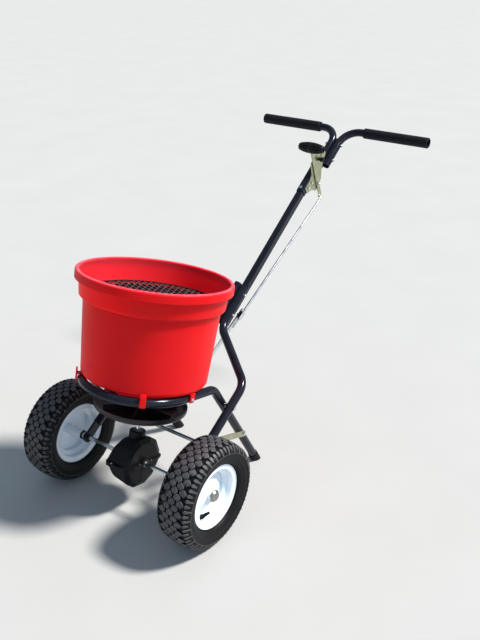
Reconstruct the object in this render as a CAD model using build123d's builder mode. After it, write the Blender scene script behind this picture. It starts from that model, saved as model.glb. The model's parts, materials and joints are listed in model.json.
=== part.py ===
# Walk-behind broadcast garden spreader, parked on its stand.
#
# Frame: +X to the right of the machine (as its user walks), +Y to the rear,
# +Z up, origin on the ground under the middle of the machine's box.
# The machine leans back on its stand, so most pieces are laid out in the
# machine's own frame (origin at the middle of the axle, X along the axle,
# Z along the hopper's axis) and every plane is moved to the parked lean.
import os
from math import cos, radians, sin, tan

from build123d import *

os.makedirs("parts", exist_ok=True)

# ---------------------------------------------------------------- dimensions
WHEEL_R = 152.0          # tyre outside radius
TYRE_W = 110.0           # tyre section width
WHEEL_X = 256.4          # wheel centre plane from the machine's centre
RIM_R = 92.0             # rim flange radius
VALVE_DEG = 205.0        # valve stem round the axle, from the machine's Z towards its Y
VALVE_TILT = 50.0        # how far the stem points in towards the hub
LEAN = 13.5              # lean of the hopper axis to the rear when parked, deg
Y_AXLE = -490.0          # axle position along Y

AXLE_R = 6.35
AXLE_END = 290.0
FIT = 0.05               # radial running clearance

TUBE_R = 12.7            # frame and stand tube
TUBE_IN = 11.1
HANDLE_R = 12.7          # handle tube
HANDLE_IN = 11.1
BAR_R = 5.6              # crossbar
FRAME_X = 185.4          # frame tube plane
HOOP_X = 157.0           # stand hoop half width
HOOP_Z = 237.0           # height of the hoop's ring above the axle
HOOP_CY = -16.0          # centre of the hoop's front bow
FRAME_DEG = 46.4         # slope of the lower frame tubes
LEG_DEG = 45.4           # slope of the stand legs
BEND_Y = 116.0           # where the hoop turns down into its legs

POLE_DEG = 50.1          # slope of the handle pole
POLE_Y, POLE_Z = 450.0, 461.0   # a point on the pole's axis
POLE_W = 22.0            # square pole
POLE_WALL = 1.8
SLEEVE_W = 26.0
FRAME_N = 23.8           # frame tubes above the pole's axis
HANDLE_N = -26.0         # handle tubes below the pole's axis
HANDLE_A = 690.0         # where along the pole the grips lie
GRIP_X0, GRIP_X1 = 86.0, 320.0
GRIP_R = 17.2

RIM_TOP = 541.0          # hopper rim above the axle
HOPPER_R = 214.2         # hopper rim radius

SHAFT_R = 6.0
GEAR_TEETH, PINION_TEETH = 40, 10
GEAR_PITCH_R, PINION_PITCH_R = 60.0, 15.0
TOOTH_LEN = 14.0
GEAR_PIN_X = -29.5

PIVOT = (456.8, -33.0)   # lever pivot, along and across the pole
LEVER_PIN = (444.0, -80.0)
KNOB = (494.0, 103.0)
STOP = (510.0, 31.0)
ROD_X = 25.0
ROD_DIR = (-0.7261, -0.6876)    # rod direction, machine Y and Z
LINK_T = 803.3           # length of the rod and link, pin to pin

# -------------------------------------------------------------- frame helpers
PARK = Location((0, Y_AXLE, WHEEL_R), (-LEAN, 0, 0))


def parked(plane):
    """A plane given in the machine's own frame, moved to where the parked machine stands."""
    return Plane(PARK * plane.location)


MACHINE = parked(Plane.XY)
SECTION = parked(Plane.XZ)          # local x = machine X, local y = machine Z
AXLE_AXIS = Axis((0, Y_AXLE, WHEEL_R), (1, 0, 0))
HOPPER_AXIS = Axis((0, Y_AXLE, WHEEL_R), (0, sin(radians(LEAN)), cos(radians(LEAN))))
PC, PS = cos(radians(POLE_DEG)), sin(radians(POLE_DEG))
FC, FS = cos(radians(FRAME_DEG)), sin(radians(FRAME_DEG))
LC, LS = cos(radians(LEG_DEG)), sin(radians(LEG_DEG))
BASE = (Align.CENTER, Align.CENTER, Align.MIN)


def level(h):
    """Plane square to the hopper axis at height h above the axle."""
    return parked(Plane.XY.offset(h))


def across(x):
    """Plane square to the axle at x; local x = machine Y, local y = machine Z."""
    return parked(Plane.YZ.offset(x))


def at(x, y, z, z_dir=(0, 0, 1), x_dir=None):
    """Plane at a machine point."""
    return parked(Plane(origin=(x, y, z), x_dir=x_dir, z_dir=z_dir))


def pole(a, n):
    """Machine Y and Z of a point a along the pole and n above its axis."""
    return (POLE_Y + PC * a - PS * n, POLE_Z + PS * a + PC * n)


def side(x):
    """Plane square to the axle at x; local x = along the pole, local y = above it."""
    return parked(Plane(origin=(x, POLE_Y, POLE_Z), x_dir=(0, PC, PS), z_dir=(1, 0, 0)))


def along_x(x, y, z):
    return at(x, y, z, z_dir=(1, 0, 0), x_dir=(0, 1, 0))


def save(piece, name):
    piece.part.label = name
    export_step(piece.part, f"parts/{name}.step")


def hex_bolt(shank_r, head_af, head_h, grip, nut_h, collar=None):
    """Bolt along local Z: head below 0, grip length above it, nut on the far end."""
    with BuildPart() as b:
        with BuildSketch(Plane.XY.offset(-head_h)):
            RegularPolygon(head_af / 2, 6, major_radius=False)
        extrude(amount=head_h)
        Cylinder(shank_r, grip + nut_h + 2.0, align=BASE)
        with BuildSketch(Plane.XY.offset(grip)):
            RegularPolygon(head_af / 2, 6, major_radius=False)
        extrude(amount=nut_h)
        if collar:
            with Locations((0, 0, collar[1])):
                Cylinder(collar[0], collar[2], align=BASE)
    return b.part


# ------------------------------------------------------------------ wheels
def wheel_x(sx, u):
    return sx * (WHEEL_X + u)


def valve_plane(sx, d):
    """Plane square to the valve stem, d along it from the wall of the rim's well."""
    ey, ez = sin(radians(VALVE_DEG)), cos(radians(VALVE_DEG))
    cu, cr = cos(radians(VALVE_TILT)), -sin(radians(VALVE_TILT))
    u, r = 14.6 + d * cu, 67.5 + d * cr
    return at(wheel_x(sx, u), r * ey, r * ez, z_dir=(sx * cu, cr * ey, cr * ez))


for name, sx in (("left", -1), ("right", 1)):
    half = TYRE_W / 2
    with BuildPart() as tyre:
        with BuildSketch(SECTION):
            with BuildLine():
                def w(u, r):
                    return (wheel_x(sx, u), r)

                Polyline(w(32.7, 80.4), w(32.7, 92.6), w(38.0, 95.2))
                ThreePointArc(w(38.0, 95.2), w(half, 121), w(43.5, 146.2))
                ThreePointArc(w(43.5, 146.2), w(0, WHEEL_R), w(-43.5, 146.2))
                ThreePointArc(w(-43.5, 146.2), w(-half, 121), w(-38.0, 95.2))
                Polyline(w(-38.0, 95.2), w(-32.7, 92.6), w(-32.7, 80.4), w(-25, 80.4), w(-27, 92))
                ThreePointArc(w(-27, 92), w(-47.5, 119), w(-37, 138.5))
                ThreePointArc(w(-37, 138.5), w(0, 144), w(37, 138.5))
                ThreePointArc(w(37, 138.5), w(47.5, 119), w(27, 92))
                Polyline(w(27, 92), w(25, 80.4), w(32.7, 80.4))
            make_face()
        revolve(axis=AXLE_AXIS)
    save(tyre, f"{name}_tyre")

    k = 0.9
    well = [
        (-41.5, 90.6), (-40.5, 92.0), (-38.2, 91.4), (-36.8, 88), (-36.8, 80), (-34.8, 78), (-20, 77.5), (-14, 66),
        (14, 66), (20, 77.5), (34.8, 78), (36.8, 80), (36.8, 88), (38.2, 91.4), (40.5, 92.0), (41.5, 90.6),
        (41.0, 89.2), (39.9, 89.4), (39.3, 87.5), (39.3, 79), (36, 75.4), (21.5, 75), (15.5, 63.5),
        (-15.5, 63.5), (-21.5, 75), (-36, 75.4), (-39.3, 79), (-39.3, 87.5), (-39.9, 89.4), (-41.0, 89.2),
    ]
    with BuildPart() as rim:
        with BuildSketch(SECTION):
            with BuildLine():
                Polyline(*[(wheel_x(sx, k * u), r) for u, r in well], close=True)
            make_face()
        revolve(axis=AXLE_AXIS)
        # dished disc and hub tube, welded in
        with BuildSketch(SECTION):
            Polygon(
                *[(wheel_x(sx, u), r) for u, r in ((2.0, 64.6), (5.0, 64.6), (7.5, 52), (16.5, 30), (18.5, 14), (15.5, 14), (13.8, 28.5), (4.8, 50.5))],
                align=None,
            )
        revolve(axis=AXLE_AXIS)
        with BuildSketch(SECTION):
            Polygon(*[(wheel_x(sx, u), r) for u, r in ((-50, 9.5), (26, 9.5), (26, 14.5), (-50, 14.5))], align=None)
        revolve(axis=AXLE_AXIS)
        # valve hole in the wall of the well
        with Locations(valve_plane(sx, 0)):
            Cylinder(5.3, 24, mode=Mode.SUBTRACT)
        if sx < 0:   # hole for the drive pin
            with Locations(at(wheel_x(sx, -16), 0, 0)):
                Cylinder(2.55, 40, mode=Mode.SUBTRACT)
    save(rim, f"{name}_rim")

    with BuildPart() as bushes:
        for u0, u1, f0, f1 in ((-50, -32, -52.5, -50), (8, 26, 26, 28.5)):
            with BuildSketch(SECTION):
                Polygon(*[(wheel_x(sx, u), r) for u, r in ((u0, AXLE_R + FIT), (u1, AXLE_R + FIT), (u1, 9.45), (u0, 9.45))], align=None)
                Polygon(*[(wheel_x(sx, u), r) for u, r in ((f0, AXLE_R + FIT), (f1, AXLE_R + FIT), (f1, 13.5), (f0, 13.5))], align=None)
            revolve(axis=AXLE_AXIS)
    save(bushes, f"{name}_hub_bushes")

    with BuildPart() as valve:
        with Locations(valve_plane(sx, -8)):
            Cylinder(4.8, 16, align=BASE)
        with Locations(valve_plane(sx, 4.6)):
            Cone(7.0, 5.2, 9, align=BASE)
        with Locations(valve_plane(sx, 13)):
            Cylinder(4.9, 8, align=BASE)
        with Locations(valve_plane(sx, 20)):
            Cylinder(4.0, 10, align=BASE)
    save(valve, f"{name}_valve_stem")

# ------------------------------------------------------------ axle and its fittings
with BuildPart() as axle:
    with Locations(along_x(-AXLE_END, 0, 0)):
        Cylinder(AXLE_R, 2 * AXLE_END, align=BASE)
    chamfer(axle.edges().filter_by(GeomType.CIRCLE), 0.8)
    with Locations(at(wheel_x(-1, -16), 0, 0)):
        Cylinder(2.55, 40, mode=Mode.SUBTRACT)
    with Locations(at(GEAR_PIN_X, 0, 0)):
        Cylinder(2.05, 40, mode=Mode.SUBTRACT)
save(axle, "axle")

with BuildPart() as drive_pin:
    with Locations(at(wheel_x(-1, -16), 0, -17)):
        Cylinder(2.5, 34, align=BASE)
save(drive_pin, "wheel_drive_pin")

with BuildPart() as axle_caps:
    for sx in (-1, 1):
        with BuildSketch(SECTION):
            with BuildLine():
                Polyline((sx * 285.3, AXLE_R + FIT), (sx * 285.3, 17.5), (sx * 287.6, 17.5))
                ThreePointArc((sx * 287.6, 17.5), (sx * 293.8, 12.2), (sx * 296.8, 3.0))
                Polyline((sx * 296.8, 3.0), (sx * 296.8, 0), (sx * 290.6, 0), (sx * 290.6, AXLE_R + FIT), (sx * 285.3, AXLE_R + FIT))
            make_face()
        revolve(axis=AXLE_AXIS)
save(axle_caps, "axle_caps")

with BuildPart() as spacers:
    for sx in (-1, 1):
        with BuildSketch(SECTION):
            Polygon((sx * 192.5, AXLE_R + FIT), (sx * 203.4, AXLE_R + FIT), (sx * 203.4, 10), (sx * 192.5, 10), align=None)
        revolve(axis=AXLE_AXIS)
save(spacers, "axle_spacers")

with BuildPart() as axle_bushes:
    for sx in (-1, 1):
        with BuildSketch(SECTION):
            Polygon((sx * 179.0, AXLE_R + FIT), (sx * 191.9, AXLE_R + FIT), (sx * 191.9, 9.5), (sx * 179.0, 9.5), align=None)
            Polygon((sx * 189.5, AXLE_R + FIT), (sx * 191.9, AXLE_R + FIT), (sx * 191.9, 14.5), (sx * 189.5, 14.5), align=None)
        revolve(axis=AXLE_AXIS)
save(axle_bushes, "axle_bushes")

# ------------------------------------------------------------------- frame tubes
CROSSBAR = (117 * FC, 117 * FS)
CROSSING_Y = (HOOP_Z + tan(radians(LEG_DEG)) * BEND_Y) / (tan(radians(FRAME_DEG)) + tan(radians(LEG_DEG)))
CROSSING = (CROSSING_Y, CROSSING_Y * tan(radians(FRAME_DEG)))
BRACE_LEG = (288.0, HOOP_Z - tan(radians(LEG_DEG)) * (288.0 - BEND_Y))
KNEE = (328 * FC, 328 * FS)
SHOULDER = pole(-167, FRAME_N)
TUBE_TOP = pole(-8, FRAME_N)
FRAME_BOLTS = (-42, -118)
FRAME_TOP_X = 14.3

for name, sx in (("left", -1), ("right", 1)):
    with BuildPart() as frame_tube:
        with BuildLine(MACHINE) as path:
            FilletPolyline(
                (sx * FRAME_X, 50 * FC, 50 * FS),
                (sx * FRAME_X, *KNEE),
                (sx * FRAME_TOP_X, *SHOULDER),
                (sx * FRAME_TOP_X, *TUBE_TOP),
                radius=[68, 58],
            )
        with BuildSketch(Plane(origin=path.line @ 0, z_dir=path.line % 0)):
            Circle(TUBE_R)
            Circle(TUBE_IN, mode=Mode.SUBTRACT)
        sweep(path=path.line)
        # flattened lower end that carries the axle bush
        with BuildSketch(parked(Plane(origin=(sx * FRAME_X - 4, 0, 0), x_dir=(0, FC, FS), z_dir=(1, 0, 0)))):
            Circle(16)
            with Locations((30, 0)):
                Rectangle(60, 27)
            with Locations((64, 0)):
                Rectangle(20, 21)
        extrude(amount=8)
        with Locations(along_x(sx * FRAME_X, 0, 0)):
            Cylinder(9.55, 30, mode=Mode.SUBTRACT)
        with Locations(along_x(sx * FRAME_X, *CROSSBAR)):
            Cylinder(BAR_R + 0.1, 40, mode=Mode.SUBTRACT)
        with Locations(along_x(sx * FRAME_X, *CROSSING)):
            Cylinder(3.2, 40, mode=Mode.SUBTRACT)
        for a in FRAME_BOLTS:
            with Locations(along_x(sx * FRAME_TOP_X, *pole(a, FRAME_N))):
                Cylinder(3.2, 40, mode=Mode.SUBTRACT)
    save(frame_tube, f"{name}_frame_tube")

with BuildPart() as crossbar:
    with Locations(along_x(-199.5, *CROSSBAR)):
        Cylinder(BAR_R, 399, align=BASE)
    chamfer(crossbar.edges().filter_by(GeomType.CIRCLE), 0.8)
save(crossbar, "crossbar")

with BuildPart() as crossbar_nuts:
    for x in (-169.8, 163.8):
        with BuildSketch(along_x(x, *CROSSBAR)):
            RegularPolygon(8.8, 6, major_radius=False)
            Circle(BAR_R + 0.05, mode=Mode.SUBTRACT)
        extrude(amount=6.0)
save(crossbar_nuts, "crossbar_nuts")

# ------------------------------------------------------------------- stand hoop
GROUND_K = tan(radians(LEAN))
FOOT_Y = (HOOP_Z + tan(radians(LEG_DEG)) * BEND_Y + WHEEL_R / cos(radians(LEAN))) / (GROUND_K + tan(radians(LEG_DEG)))
FOOT_Z = HOOP_Z - tan(radians(LEG_DEG)) * (FOOT_Y - BEND_Y)
LEG_END = (FOOT_Y - 14 * LC, FOOT_Z + 14 * LS)
HOOP_FRONT = HOOP_CY - HOOP_X
LUG_Y = 0.0              # side lugs of the hopper

with BuildPart() as hoop:
    with BuildLine(MACHINE) as path:
        FilletPolyline(
            (-HOOP_X, *LEG_END),
            (-HOOP_X, BEND_Y, HOOP_Z),
            (-HOOP_X, HOOP_FRONT, HOOP_Z),
            (HOOP_X, HOOP_FRONT, HOOP_Z),
            (HOOP_X, BEND_Y, HOOP_Z),
            (HOOP_X, *LEG_END),
            radius=[48, HOOP_X - 0.2, HOOP_X - 0.2, 48],
        )
    with BuildSketch(Plane(origin=path.line @ 0, z_dir=path.line % 0)):
        Circle(TUBE_R)
        Circle(TUBE_IN, mode=Mode.SUBTRACT)
    sweep(path=path.line)
    for sx in (-1, 1):
        for y, z in (CROSSING, BRACE_LEG):
            with Locations(along_x(sx * HOOP_X, y, z)):
                Cylinder(3.2, 40, mode=Mode.SUBTRACT)
        with Locations(along_x(sx * (HOOP_X + 11.5), LUG_Y, HOOP_Z)):
            Cylinder(2.2, 12, mode=Mode.SUBTRACT)
save(hoop, "stand_hoop")

with BuildPart() as foot_caps:
    for sx in (-1, 1):
        with Locations(at(sx * HOOP_X, FOOT_Y - 34 * LC, FOOT_Z + 34 * LS, z_dir=(0, LC, -LS), x_dir=(1, 0, 0))):
            Cylinder(14.8, 60, align=BASE)
    for sx in (-1, 1):
        with Locations(at(sx * HOOP_X, FOOT_Y - 40 * LC, FOOT_Z + 40 * LS, z_dir=(0, LC, -LS), x_dir=(1, 0, 0))):
            Cylinder(TUBE_R + 0.05, 26.1, align=BASE, mode=Mode.SUBTRACT)
    with Locations((0, Y_AXLE + FOOT_Y, -50)):
        Box(800, 300, 100, mode=Mode.SUBTRACT)
save(foot_caps, "foot_caps")

BRACE_LEN = ((BRACE_LEG[0] - CROSSBAR[0]) ** 2 + (BRACE_LEG[1] - CROSSBAR[1]) ** 2) ** 0.5
BRACE_DIR = ((BRACE_LEG[0] - CROSSBAR[0]) / BRACE_LEN, (BRACE_LEG[1] - CROSSBAR[1]) / BRACE_LEN)
for name, x in (("left", -172.5), ("right", 169.9)):
    with BuildPart() as brace:
        with BuildSketch(parked(Plane(origin=(x, *CROSSBAR), x_dir=(0, *BRACE_DIR), z_dir=(1, 0, 0)))):
            with Locations((BRACE_LEN / 2, 0)):
                SlotCenterToCenter(BRACE_LEN, 19)
            Circle(BAR_R + 0.1, mode=Mode.SUBTRACT)
            with Locations((BRACE_LEN, 0)):
                Circle(3.2, mode=Mode.SUBTRACT)
        extrude(amount=2.6)
    save(brace, f"{name}_leg_brace")

brace_bolt = hex_bolt(3.0, 10.0, 4.2, 28.4, 5.0)
with BuildPart() as brace_bolts:
    with Locations(
        at(172.6, *BRACE_LEG, z_dir=(-1, 0, 0), x_dir=(0, 1, 0)),
        at(-172.6, *BRACE_LEG, z_dir=(1, 0, 0), x_dir=(0, 1, 0)),
    ):
        add(brace_bolt)
save(brace_bolts, "brace_bolts")

leg_bolt = hex_bolt(3.0, 10.0, 4.2, 54.1, 5.0, collar=(6.5, 25.7, 2.6))
with BuildPart() as leg_bolts:
    with Locations(
        at(198.2, *CROSSING, z_dir=(-1, 0, 0), x_dir=(0, 1, 0)),
        at(-198.2, *CROSSING, z_dir=(1, 0, 0), x_dir=(0, 1, 0)),
    ):
        add(leg_bolt)
save(leg_bolts, "leg_bolts")

# ------------------------------------------------------------------- hopper
hopper_profile = [
    # outside, from the floor's hole outwards and up
    (9.0, 196.0), (62.0, 196.0), (138.0, 251.5), (174.5, 251.5), (187.2, 466.0), (198.6, 471.5), (202.3, 510.0),
    (202.8, 534.0), (210.9, 534.0), (211.0, 516.0), (HOPPER_R, 516.0), (HOPPER_R, RIM_TOP),
    # inside, from the rim down
    (203.0, RIM_TOP), (195.4, 474.9), (183.4, 469.6), (171.2, 255.2), (137.0, 255.2), (60.8, 200.0), (9.0, 200.0),
]
hopper_round = [0, 6, 6, 14, 3, 4, 3, 1.2, 1.5, 0.8, 0.8, 5.5, 3.2, 2.5, 3, 11, 8, 6, 0]
OUTLETS = ((-27, -30), (0, -37), (27, -30))
LUGS = ((105, -124), (-105, -124), (HOOP_X, LUG_Y), (-HOOP_X, LUG_Y))

with BuildPart() as hopper:
    with BuildSketch(SECTION):
        with BuildLine():
            FilletPolyline(*hopper_profile, radius=hopper_round, close=True)
        make_face()
    revolve(axis=HOPPER_AXIS)
    with BuildSketch(level(190)):
        with Locations(*OUTLETS):
            Rectangle(17, 14)
    extrude(amount=20, mode=Mode.SUBTRACT)
    # lugs that hook over the stand hoop
    for lx, ly in LUGS:
        if abs(lx) < HOOP_X - 1:
            dx, dy = lx, ly - HOOP_CY
            d = (dx * dx + dy * dy) ** 0.5
            nx, ny = dx / d, dy / d
            px, py = HOOP_X * nx, HOOP_CY + HOOP_X * ny
        else:
            nx, ny = (1 if lx > 0 else -1), 0
            px, py = lx, ly
        lug_plane = at(px, py, 0, x_dir=(nx, ny, 0))
        with BuildSketch(lug_plane.offset(250.4)):
            with Locations((7.4, 0)):
                Rectangle(20.8, 16)
        extrude(amount=3.4)
        with BuildSketch(lug_plane.offset(229.0)):
            with Locations((15.6, 0)):
                Rectangle(4.4, 16)
        extrude(amount=37.0 if abs(lx) < HOOP_X - 1 else 25.6)
    for sx in (-1, 1):
        with Locations(along_x(sx * (HOOP_X + 15.6), LUG_Y, HOOP_Z)):
            Cylinder(2.2, 14, mode=Mode.SUBTRACT)
save(hopper, "hopper")

with BuildPart() as hopper_screws:
    for sx in (-1, 1):
        out = (sx, 0, 0)
        with Locations(at(sx * (HOOP_X + 4), LUG_Y, HOOP_Z, z_dir=out, x_dir=(0, 1, 0))):
            Cylinder(2.1, 14.1, align=BASE)
        with Locations(at(sx * (HOOP_X + 17.9), LUG_Y, HOOP_Z, z_dir=out, x_dir=(0, 1, 0))):
            Cone(4.6, 3.2, 2.6, align=BASE)
save(hopper_screws, "hopper_screws")

# ------------------------------------------------------------------- debris screen
SCREEN_Z = 473.2
SCREEN_R = 190.5
PITCH = 16.4
STRANDS = (27.0, 69.5)   # across the two families of strands: a diamond mesh, as it happens to lie
with BuildPart() as screen:
    with BuildSketch(level(SCREEN_Z)):
        for turn in STRANDS:
            step = (PITCH * cos(radians(turn)), PITCH * sin(radians(turn)))
            with Locations(*[(step[0] * i, step[1] * i) for i in range(-11, 12)]):
                Rectangle(2.6, 2 * SCREEN_R, rotation=turn)
        Circle(SCREEN_R - 3, mode=Mode.INTERSECT)
    extrude(amount=3.0)
    with BuildSketch(level(SCREEN_Z)):
        Circle(SCREEN_R)
        Circle(SCREEN_R - 5.5, mode=Mode.SUBTRACT)
    extrude(amount=4.0)
save(screen, "debris_screen")

# ------------------------------------------------------------------- shutter
TRAVEL = 15.7            # how far the shutter goes from shut to open
LINK_LOW = (pole(*LEVER_PIN)[0] + ROD_DIR[0] * LINK_T, pole(*LEVER_PIN)[1] + ROD_DIR[1] * LINK_T)
with BuildPart() as shutter:
    with BuildSketch(level(190.6)):
        with Locations((0, 2)):
            RectangleRounded(88, 124, 8)
        with Locations((4, 140)):
            Rectangle(22, 164)
        with Locations(*[(x, y + TRAVEL) for x, y in OUTLETS]):
            Rectangle(17, 14, mode=Mode.SUBTRACT)
        with Locations((0, TRAVEL / 2 + 1)):
            SlotOverall(TRAVEL + 21, 15, rotation=90, mode=Mode.SUBTRACT)
    extrude(amount=2.6)
    # upright ear at the tail, with an open hole for the link's pin
    with BuildSketch(across(12)):
        with Locations((LINK_LOW[0], LINK_LOW[1] - 1.6)):
            RectangleRounded(20, 12.6, 3)
        with Locations((LINK_LOW[0], LINK_LOW[1] - 6.2)):
            Rectangle(20, 4)
        with Locations(LINK_LOW):
            Circle(3.9, mode=Mode.SUBTRACT)
    extrude(amount=3.0)
save(shutter, "shutter_plate")

with BuildPart() as guides:
    for sx in (-1, 1):
        with BuildSketch(parked(Plane.XZ.offset(34))):
            Polygon(*[(sx * x, z) for x, z in ((44.6, 195.9), (49.0, 195.9), (49.0, 187.6), (40.0, 187.6), (40.0, 190.2), (44.6, 190.2))], align=None)
        extrude(amount=-68)
save(guides, "shutter_guides")

# ------------------------------------------------------------------- spinner
with BuildPart() as shaft:
    with Locations(level(38)):
        Cylinder(SHAFT_R, 188, align=BASE)
    chamfer(shaft.edges().filter_by(GeomType.CIRCLE), 0.8)
    with Locations(at(0, 0, 160, z_dir=(1, 0, 0), x_dir=(0, 1, 0)), at(0, 0, 214, z_dir=(1, 0, 0), x_dir=(0, 1, 0))):
        Cylinder(2.05, 40, mode=Mode.SUBTRACT)
save(shaft, "spinner_shaft")

with BuildPart() as floor_bush:
    with BuildSketch(SECTION):
        Polygon((SHAFT_R + FIT, 194.3), (8.95, 194.3), (8.95, 200.1), (12.5, 200.1), (12.5, 202.6), (SHAFT_R + FIT, 202.6), align=None)
    revolve(axis=HOPPER_AXIS)
save(floor_bush, "hopper_floor_bush")

with BuildPart() as impeller:
    with BuildSketch(SECTION):
        Polygon((SHAFT_R + 0.03, 145), (14, 145), (14, 149), (104, 149), (122, 153.6), (129.4, 159), (131.5, 164), (131.5, 172.5), (129.2, 172.5), (129.2, 164.6), (127.4, 160.6), (121, 156.4), (103, 152.2), (14, 152.2), (14, 172), (SHAFT_R + 0.03, 172), align=None)
    revolve(axis=HOPPER_AXIS)
    with BuildSketch(level(151)):
        with PolarLocations(0, 6):
            with Locations((60.5, 0)):
                Rectangle(95, 3.2)
    extrude(amount=20)
    with Locations(at(0, 0, 160, z_dir=(1, 0, 0), x_dir=(0, 1, 0))):
        Cylinder(2.05, 44, mode=Mode.SUBTRACT)
save(impeller, "impeller")

with BuildPart() as impeller_pin:
    with Locations(at(-13.8, 0, 160, z_dir=(1, 0, 0), x_dir=(0, 1, 0))):
        Cylinder(2.0, 27.6, align=BASE)
save(impeller_pin, "impeller_pin")

with BuildPart() as agitator:
    with BuildSketch(SECTION):
        Polygon((SHAFT_R + 0.03, 205), (11, 205), (11, 223), (SHAFT_R + 0.03, 223), align=None)
    revolve(axis=HOPPER_AXIS)
    for sx in (-1, 1):
        with BuildLine(MACHINE) as arm:
            FilletPolyline((sx * 9.5, 0, 214), (sx * 42, 0, 214), (sx * 58, 0, 238), radius=10)
        with BuildSketch(Plane(origin=arm.line @ 0, z_dir=arm.line % 0)):
            Circle(3.0)
        sweep(path=arm.line)
    with Locations(at(0, 0, 214, z_dir=(0, 1, 0), x_dir=(1, 0, 0))):
        Cylinder(2.05, 40, mode=Mode.SUBTRACT)
save(agitator, "agitator")

# ------------------------------------------------------------------- gearbox
# sections of the case along the axle: x, then half outlines (machine Y, machine Z) from the joint face to the ridge
case_sections = [
    (-40.0, ((70, 0), (69, 5), (52, 28), (24, 38))),
    (-32.0, ((74, 0), (73, 8), (52, 42), (23, 56))),
    (-20.0, ((75, 0), (74, 10), (53, 47), (23, 66))),
    (28.0, ((76, 0), (74, 17), (54, 54), (24, 72))),
    (36.0, ((62, 0), (60, 13), (44, 43), (20, 58))),
]
CASE_WALL = 3.2
flange_out = [(-48.8, -40), (-40, -74), (-28, -86), (6, -86), (32, -79), (45, -48)]
flange_outline = flange_out + [(x, -y) for x, y in reversed(flange_out)]
FLANGE_SCREWS = [(-12, 80.8), (40.4, 24), (-44.4, 24), (-12, -80.8), (40.4, -24), (-44.4, -24)]


def case_loft(up, inset, mode):
    """Faceted shell of one half, shrunk by inset for its hollow."""
    last = len(case_sections) - 1
    faces = []
    for i, (x, half) in enumerate(case_sections):
        shift = inset if i == 0 else (-inset if i == last else 0)
        near = [(y - inset if j == 0 else y - inset * 0.85, z - inset * 0.75 * (j > 1)) for j, (y, z) in enumerate(half)]
        if inset:
            near = [(near[0][0], -2.0)] + near
        outline = [(y, z * up) for y, z in near] + [(-y, z * up) for y, z in reversed(near)]
        with BuildSketch(across(x + shift)) as section:
            Polygon(*outline, align=None)
        faces.append(section.sketch)
    loft(faces, ruled=True, mode=mode)


def case_half(up):
    """One half of the gear case, up = 1 for the top and -1 for the bottom."""
    case_loft(up, 0.0, Mode.ADD)
    with BuildSketch(MACHINE) as rim_face:
        Polygon(*flange_outline, align=None)
    extrude(rim_face.sketch, amount=4.0 * up)
    for x in (-46.4, 32.0):
        with BuildSketch(across(x)) as boss:
            Circle(16)
            with Locations((0, -20 * up)):
                Rectangle(50, 40, mode=Mode.SUBTRACT)
        extrude(boss.sketch, amount=12.4)
    if up > 0:
        with Locations(level(30)):
            Cylinder(23, 58, align=BASE)
    case_loft(up, CASE_WALL, Mode.SUBTRACT)
    if up > 0:
        with Locations(level(20)):
            Cylinder(19, 46.2, align=BASE, mode=Mode.SUBTRACT)
        with Locations(level(60)):
            Cylinder(10.05, 40, align=BASE, mode=Mode.SUBTRACT)
    with Locations(along_x(-100, 0, 0)):
        Cylinder(9.55, 200, align=BASE, mode=Mode.SUBTRACT)
    with Locations(*[at(x, y, -20) for x, y in FLANGE_SCREWS]):
        Cylinder(2.15, 40, align=BASE, mode=Mode.SUBTRACT)


with BuildPart() as case_top:
    case_half(1)
save(case_top, "gearbox_upper")

with BuildPart() as case_bottom:
    case_half(-1)
save(case_bottom, "gearbox_lower")

with BuildPart() as case_screws:
    with Locations(*[at(x, y, 4.05) for x, y in FLANGE_SCREWS]):
        Cylinder(3.6, 2.4, align=BASE)
    with Locations(*[at(x, y, -6.5) for x, y in FLANGE_SCREWS]):
        Cylinder(2.0, 11, align=BASE)
save(case_screws, "gearbox_screws")

with BuildPart() as case_bushes:
    for x0, x1 in ((-46.8, -36.4), (33.0, 44.8)):
        with BuildSketch(SECTION):
            Polygon((x0, AXLE_R + FIT), (x1, AXLE_R + FIT), (x1, 9.5), (x0, 9.5), align=None)
        revolve(axis=AXLE_AXIS)
save(case_bushes, "gearbox_bushes")

with BuildPart() as shaft_bush:
    with BuildSketch(SECTION):
        Polygon((SHAFT_R + FIT, 66.4), (10, 66.4), (10, 88.1), (14, 88.1), (14, 90.6), (SHAFT_R + FIT, 90.6), align=None)
    revolve(axis=HOPPER_AXIS)
save(shaft_bush, "spinner_shaft_bush")

CONE_LEN = (GEAR_PITCH_R ** 2 + PINION_PITCH_R ** 2) ** 0.5
SHRINK = (CONE_LEN - TOOTH_LEN) / CONE_LEN
tooth_shape = [(-2.9, -3.3), (-1.75, 0), (-0.8, 2.2), (0.8, 2.2), (1.75, 0), (2.9, -3.3)]


def bevel_tooth(pitch_r, depth):
    """Straight bevel tooth on local +X, cone apex at the origin, pitch circle at height depth."""
    gx, gz = -pitch_r / CONE_LEN, -depth / CONE_LEN
    mx, mz = depth / CONE_LEN, -pitch_r / CONE_LEN
    with BuildPart() as t:
        for s in (1.0, SHRINK):
            base = Plane(origin=(pitch_r * s, 0, depth * s), x_dir=(0, 1, 0), z_dir=(gx, 0, gz))
            flip = 1 if base.y_dir.dot(Vector(mx, 0, mz)) > 0 else -1
            with BuildSketch(base):
                Polygon(*[(s * u, s * v * flip) for u, v in tooth_shape], align=None)
        loft(ruled=True)
    return t.part


gear_tooth = bevel_tooth(GEAR_PITCH_R, PINION_PITCH_R)
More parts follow.
